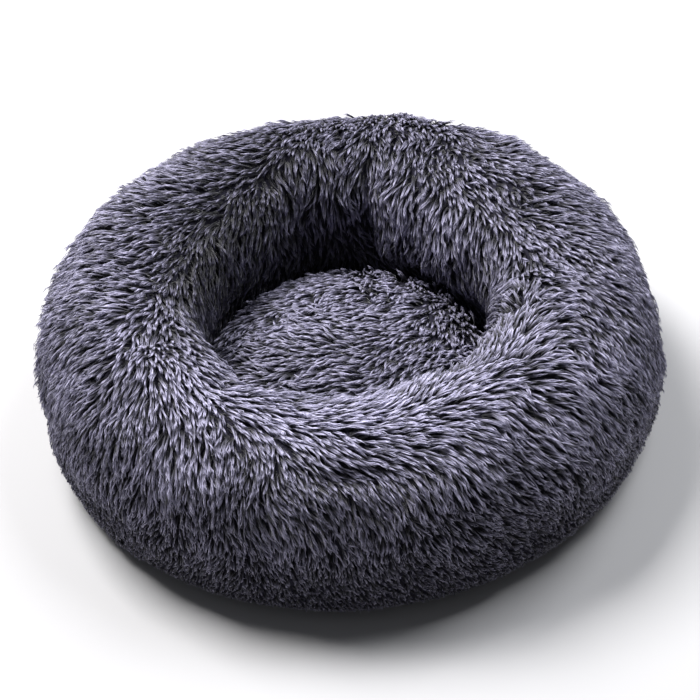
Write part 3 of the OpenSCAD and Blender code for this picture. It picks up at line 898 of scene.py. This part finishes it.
# How the pile is brushed round the ring: at each angle from +X, how far it turns towards the
# anticlockwise direction on the outside, at the crest and on the inside, and where it parts, as an angle
# over the tube.
BRUSHED = [
    (0, -0.6, -1.2, -0.6, 116), (45, -0.5, -0.9, -0.4, 96), (72, 0.0, 0.0, -0.1, 40),
    (100, 0.4, 0.8, 0.3, 60), (135, 0.5, 1.2, 0.4, 118), (180, 0.3, 1.2, 0.7, 122),
    (225, 0.2, 1.3, 1.0, 104), (270, 0.6, 1.6, 1.4, 92), (315, 0.5, 1.2, 1.0, 98),
    (340, -0.4, 0.3, 0.0, 108), (360, -0.6, -1.2, -0.6, 116),
]
brush_angles, *brush_turns, brush_parting = np.array(BRUSHED).T


def brushed(places):
    """At those places: the outward direction, which way the pile lies, and the angle over the tube."""
    spot = on_grid(skin, places)
    angle = (places[:, 0] / AROUND * 360) % 360
    over_deg = np.degrees(foot + places[:, 1] / (OVER - 1) * (math.pi - 2 * foot))
    around_way = unit(on_grid(np.roll(skin, -1, axis=0) - np.roll(skin, 1, axis=0), places))
    over_way = unit(on_grid(np.gradient(skin, axis=1), places))
    outside_turn, crest_turn, inside_turn = (np.interp(angle, brush_angles, turns) for turns in brush_turns)
    slow, quick_change, small = (
        drift(spot, size, seed) for size, seed in ((0.085, 1), (0.034, 2), (0.013, 3))
    )
    parting = np.interp(angle, brush_angles, brush_parting) + 18 * slow[:, 2] + 8 * quick_change[:, 2]
    inside = 1 / (1 + np.exp(-(over_deg - parting) / 12.0))
    crest = np.exp(-((over_deg - parting) / 27) ** 2)
    turning = outside_turn * (1 - inside) + inside_turn * inside
    turning = turning * (1 - crest) + crest_turn * crest
    turning = turning + 0.8 * slow[:, 0] + 0.7 * quick_change[:, 0] + 0.6 * small[:, 0]
    way = (2 * inside - 1 + 0.35 * quick_change[:, 1] + 0.3 * small[:, 1])[:, None] * over_way
    way = way + turning[:, None] * around_way
    for around_deg, over_mid, _, along, across, parts in TUCKS:
        off_around = np.radians(np.mod(angle - around_deg + 180, 360) - 180)
        off_around = off_around * np.hypot(spot[:, 0], spot[:, 1]) * MM
        off_over = np.radians(over_deg - over_mid) * MM_OVER_TUBE
        fan = unit(off_around[:, None] / along * around_way + off_over[:, None] / across * over_way)
        near = np.exp(-(off_around / (2 * along)) ** 2 - (off_over / (2 * across)) ** 2)
        way = way + fan * (parts * near)[:, None]
    out = unit(on_grid(skin_out, places))
    return out, unit(way - out * (way * out).sum(-1, keepdims=True)), over_deg


def ring_pile(name, seed, first, last, low, high, gap, fibres_each=5, steps=(0.0, 0.36, 0.72, 1.0)):
    """The pile on one stretch of the ring: short and standing near the floor, long and lying higher up."""
    places = seeds(seed, first, last, low, high, gap)
    out, way, over_deg = brushed(places)
    roots = on_grid(skin, places)
    chance = np.random.default_rng(seed + 1000)
    rise = np.clip((roots[:, 2] - FLOOR) / 0.1, 0, 1)
    outside = over_deg < 97
    # shadow is painted shade near the floor: there the fibres on the outside are coloured dark further up
    # (through dark below), and the tone is paler and more varied, so only small pale tips show. It also makes
    # the locks there shorter and narrower.
    shadow = 1 - np.clip((roots[:, 2] - 0.03) / 0.11, 0, 1)
    patch = drift(roots, 0.045, 9)[:, 0]
    length = chance.uniform(0.68, 1.1, len(roots)) * (1 + 0.3 * patch)
    length = length * PILE * np.where(outside, 1 - 0.72 * shadow, 0.5 + 0.5 * rise)
    length = length * np.where(outside, np.clip(0.25 + (roots[:, 2] - FLOOR) / 0.035, 0.25, 1), 1)
    lift = np.where(outside, 76 - 36 * rise, 44 - 4 * rise)
    turn = places[:, 0] / AROUND * math.tau
    # Painted highlight along the front crest: the pile there is coloured paler, and pale further down each
    # fibre.
    front_rim_highlight = near_angle(turn, 266, 52) * np.exp(-((over_deg - 94) / 25) ** 2)
    # Painted light on the right back inner wall: its pile is coloured a little paler, and pale a little
    # further down each fibre.
    leaning = near_angle(turn, 46, 28) * np.exp(-((over_deg - 140) / 32) ** 2)
    tone = 0.5 + chance.normal(0, 0.24, len(roots)) * (1 + 0.8 * shadow) + 0.4 * patch + 0.55 * shadow
    # Painted shade in the left inner pocket under the crest: the pile there is coloured darker, and dark
    # further up each fibre.
    left_pocket_shade = near_angle(turn, 158, 30) * np.exp(-((over_deg - 145) / 26) ** 2)
    # Painted shade round the back of the ring, near 100 degrees from +X: the pile there is coloured darker.
    tone = tone + 0.85 * front_rim_highlight + 0.3 * leaning - 0.45 * near_angle(turn, 100, 44) - 0.6 * left_pocket_shade
    # Painted shade round the right side, near +X: the pile there is coloured a little darker.
    tone = tone - 0.1 * near_angle(turn, 5, 35)
    dark = np.where(outside, 1 + 2.8 * shadow, 1.0) + 0.9 * left_pocket_shade - 0.35 * front_rim_highlight - 0.2 * leaning
    spread = gap * np.where(outside, 0.42 - 0.2 * shadow, 0.42)
    grow(name, seed, roots, out, way, length, np.clip(tone, 0.02, 0.92), "ring", "ring_fur",
         lift, spread, fibres_each, steps, dark)


SKIRT, BELLY, MOUTH = 17, 29, 53
for side, start_row in (("left", SEAM), ("right", SEAM + AROUND // 2)):
    for number in range(2):
        first = start_row + number * AROUND // 4
        last = first + AROUND // 4
        label = f"pile_{side}_{number + 1}_"
        ring_pile(label + "skirt", 10 + first, first, last, 1, SKIRT, 0.0039, 3, (0.0, 0.8, 1.0))
        ring_pile(label + "lower", 11 + first, first, last, SKIRT, BELLY, 0.0042, 4, (0.0, 0.74, 1.0))
        ring_pile(label + "upper", 12 + first, first, last, BELLY, CREST + 1, 0.0048)
for number in range(3):
    first, last = number * AROUND // 3, (number + 1) * AROUND // 3
    label = f"pile_inside_{number + 1}_"
    ring_pile(label + "upper", 41 + number, first, last, CREST + 1, MOUTH, 0.005)
    ring_pile(label + "lower", 44 + number, first, last, MOUTH, OVER - 3, 0.0064, 4, (0.0, 0.5, 1.0))

# The loose cushion: two discs sewn together at the edge, fur above and coated cloth below, round a bag
# of fibre. It is crowned in the middle, and it lies on the base inside the ring.
cushion_low, cushion_high = (np.array(corner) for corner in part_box("cushion_top_panel"))
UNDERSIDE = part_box("cushion_base_panel")[0][2]
CUSHION_RADIUS = cushion_high[0]
EDGE_HEIGHT = cushion_low[2]
TURNS, RINGS = 144, 30
turn = np.repeat(np.linspace(0, math.tau, TURNS, endpoint=False)[:, None], RINGS, axis=1)
share = np.repeat(np.linspace(0.03, 1, RINGS)[None], TURNS, axis=0)
crown = (1 - share ** 2.6) ** 0.6
edge = CUSHION_RADIUS * 0.985 * share
top = on_circle(edge, turn, EDGE_HEIGHT + (cushion_high[2] - EDGE_HEIGHT) * 0.93 * crown)
low = on_circle(edge, turn, EDGE_HEIGHT - (EDGE_HEIGHT - UNDERSIDE) * np.minimum(1, 1.25 * crown))[:, :-1]
hub = np.array([(0, 0, top[0, 0, 2]), (0, 0, low[0, 0, 2])])
points = np.concatenate([top.reshape(-1, 3), low.reshape(-1, 3), hub])
shift = TURNS * RINGS
steps = np.arange(TURNS)
after = (steps + 1) % TURNS
rim = np.stack([
    steps * RINGS + RINGS - 1, steps * (RINGS - 1) + RINGS - 2 + shift,
    after * (RINGS - 1) + RINGS - 2 + shift, after * RINGS + RINGS - 1,
], axis=-1)
cushion_stuffing = mesh_piece("cushion_stuffing", points, [
    grid_faces(TURNS, RINGS, around=True)[:, ::-1], grid_faces(TURNS, RINGS - 1, around=True) + shift, rim,
    np.stack([steps * RINGS, after * RINGS, np.full(TURNS, len(points) - 2)], axis=-1),
    np.stack([
        after * (RINGS - 1) + shift, steps * (RINGS - 1) + shift, np.full(TURNS, len(points) - 1),
    ], axis=-1),
], white_cloth)
puffed = stuffed(cushion_stuffing, (points[:, 2] < UNDERSIDE + 0.004) * 1.0, 3.0, 0.022)
reach = np.hypot(puffed[:, 0], puffed[:, 1])
puffed[:, :2] *= np.minimum(1, CUSHION_RADIUS / np.maximum(reach, 1e-6))[:, None]
puffed[:, 2] = np.clip(puffed[:, 2], UNDERSIDE, cushion_high[2] + 0.002)
top, hub = puffed[:shift].reshape(TURNS, RINGS, 3), puffed[-2:]
low = np.concatenate([puffed[shift:-2].reshape(TURNS, RINGS - 1, 3), top[:, -1:]], axis=1)
centre = np.array([0, 0, EDGE_HEIGHT])


def drawn_in(points, amount):
    """The same points, moved that far towards the inside of the cushion."""
    flat = np.abs(points[..., 2] - EDGE_HEIGHT) / np.maximum(np.linalg.norm(points - centre, axis=-1), 1e-9)
    step = np.stack([
        points[..., 0] * (1 - flat), points[..., 1] * (1 - flat), points[..., 2] - EDGE_HEIGHT,
    ], axis=-1)
    return points - unit(step) * amount


cushion_top = cloth_shell(
    "cushion_top_cloth", top, drawn_in(top, CLOTH_THICK), True, underfur,
    hub=(hub[0], hub[0] - [0, 0, CLOTH_THICK]),
)
belongs(cushion_top, "cushion", "cushion_fur", "cushion_top_panel")
BASE_THICK = 0.0012
BAG_BELOW_TOP, BAG_ABOVE_BASE = 0.0052, 0.0016
cushion_base = cloth_shell(
    "cushion_base_cloth", low, drawn_in(low, BASE_THICK), True, base_finish,
    hub=(hub[1], hub[1] + [0, 0, BASE_THICK]),
)
belongs(cushion_base, "cushion", "base_cloth", "cushion_base_panel")
for shell in (cushion_top, cushion_base):
    mesh = bmesh.new()
    mesh.from_mesh(shell.data)
    bmesh.ops.recalc_face_normals(mesh, faces=mesh.faces)
    mesh.to_mesh(shell.data)
    mesh.free()
filled = puffed.copy()
filled[:shift] = drawn_in(puffed[:shift], BAG_BELOW_TOP)
filled[shift:-2] = drawn_in(puffed[shift:-2], BAG_ABOVE_BASE)
filled[-2:, 2] += (-BAG_BELOW_TOP, BAG_ABOVE_BASE)
reshaped(cushion_stuffing, filled)
belongs(cushion_stuffing, "cushion", "bag_cloth", "cushion_fill_bag", "cushion_fill")

# The cushion's pile is the same fur as the ring's, brushed to the left and the front.
chance = np.random.default_rng(77)
LOCK_GAP = 0.0052
number = int(math.pi * (CUSHION_RADIUS * 1.06) ** 2 / LOCK_GAP ** 2)
across = np.sqrt((np.arange(number) + chance.uniform(0, 1, number)) / number) * (RINGS - 1.001)
GOLDEN_TURN = 2.399963
around = (np.arange(number) * GOLDEN_TURN + chance.normal(0, 0.04, number)) / math.tau * TURNS % TURNS
places = np.stack([around, across], axis=-1)
roots = on_grid(top, places)
outward_step, round_step = np.gradient(top, axis=1), np.roll(top, -1, axis=0) - top
out = unit(np.cross(on_grid(outward_step, places), on_grid(round_step, places)))
out[out[:, 2] < 0] *= -1
sweep, small = drift(roots, 0.07, 21), drift(roots, 0.02, 22)
way = np.stack([
    -0.8 + 1.1 * sweep[:, 0] + 0.8 * small[:, 0],
    -0.35 + 1.1 * sweep[:, 1] + 0.8 * small[:, 1], np.zeros(number),
], axis=-1)
way = unit(way - out * (way * out).sum(-1, keepdims=True))
length = PILE * 0.85 * chance.uniform(0.7, 1.05, number)
tone = np.clip(chance.normal(0.64, 0.15, number) + 0.3 * drift(roots, 0.045, 23)[:, 0], 0.02, 0.92)
grow("pile_cushion", 78, roots, out, way, length, tone, "cushion", "cushion_fur",
     44.0, np.array([0.0022]), 5, (0.0, 0.36, 0.72, 1.0), np.ones(number))
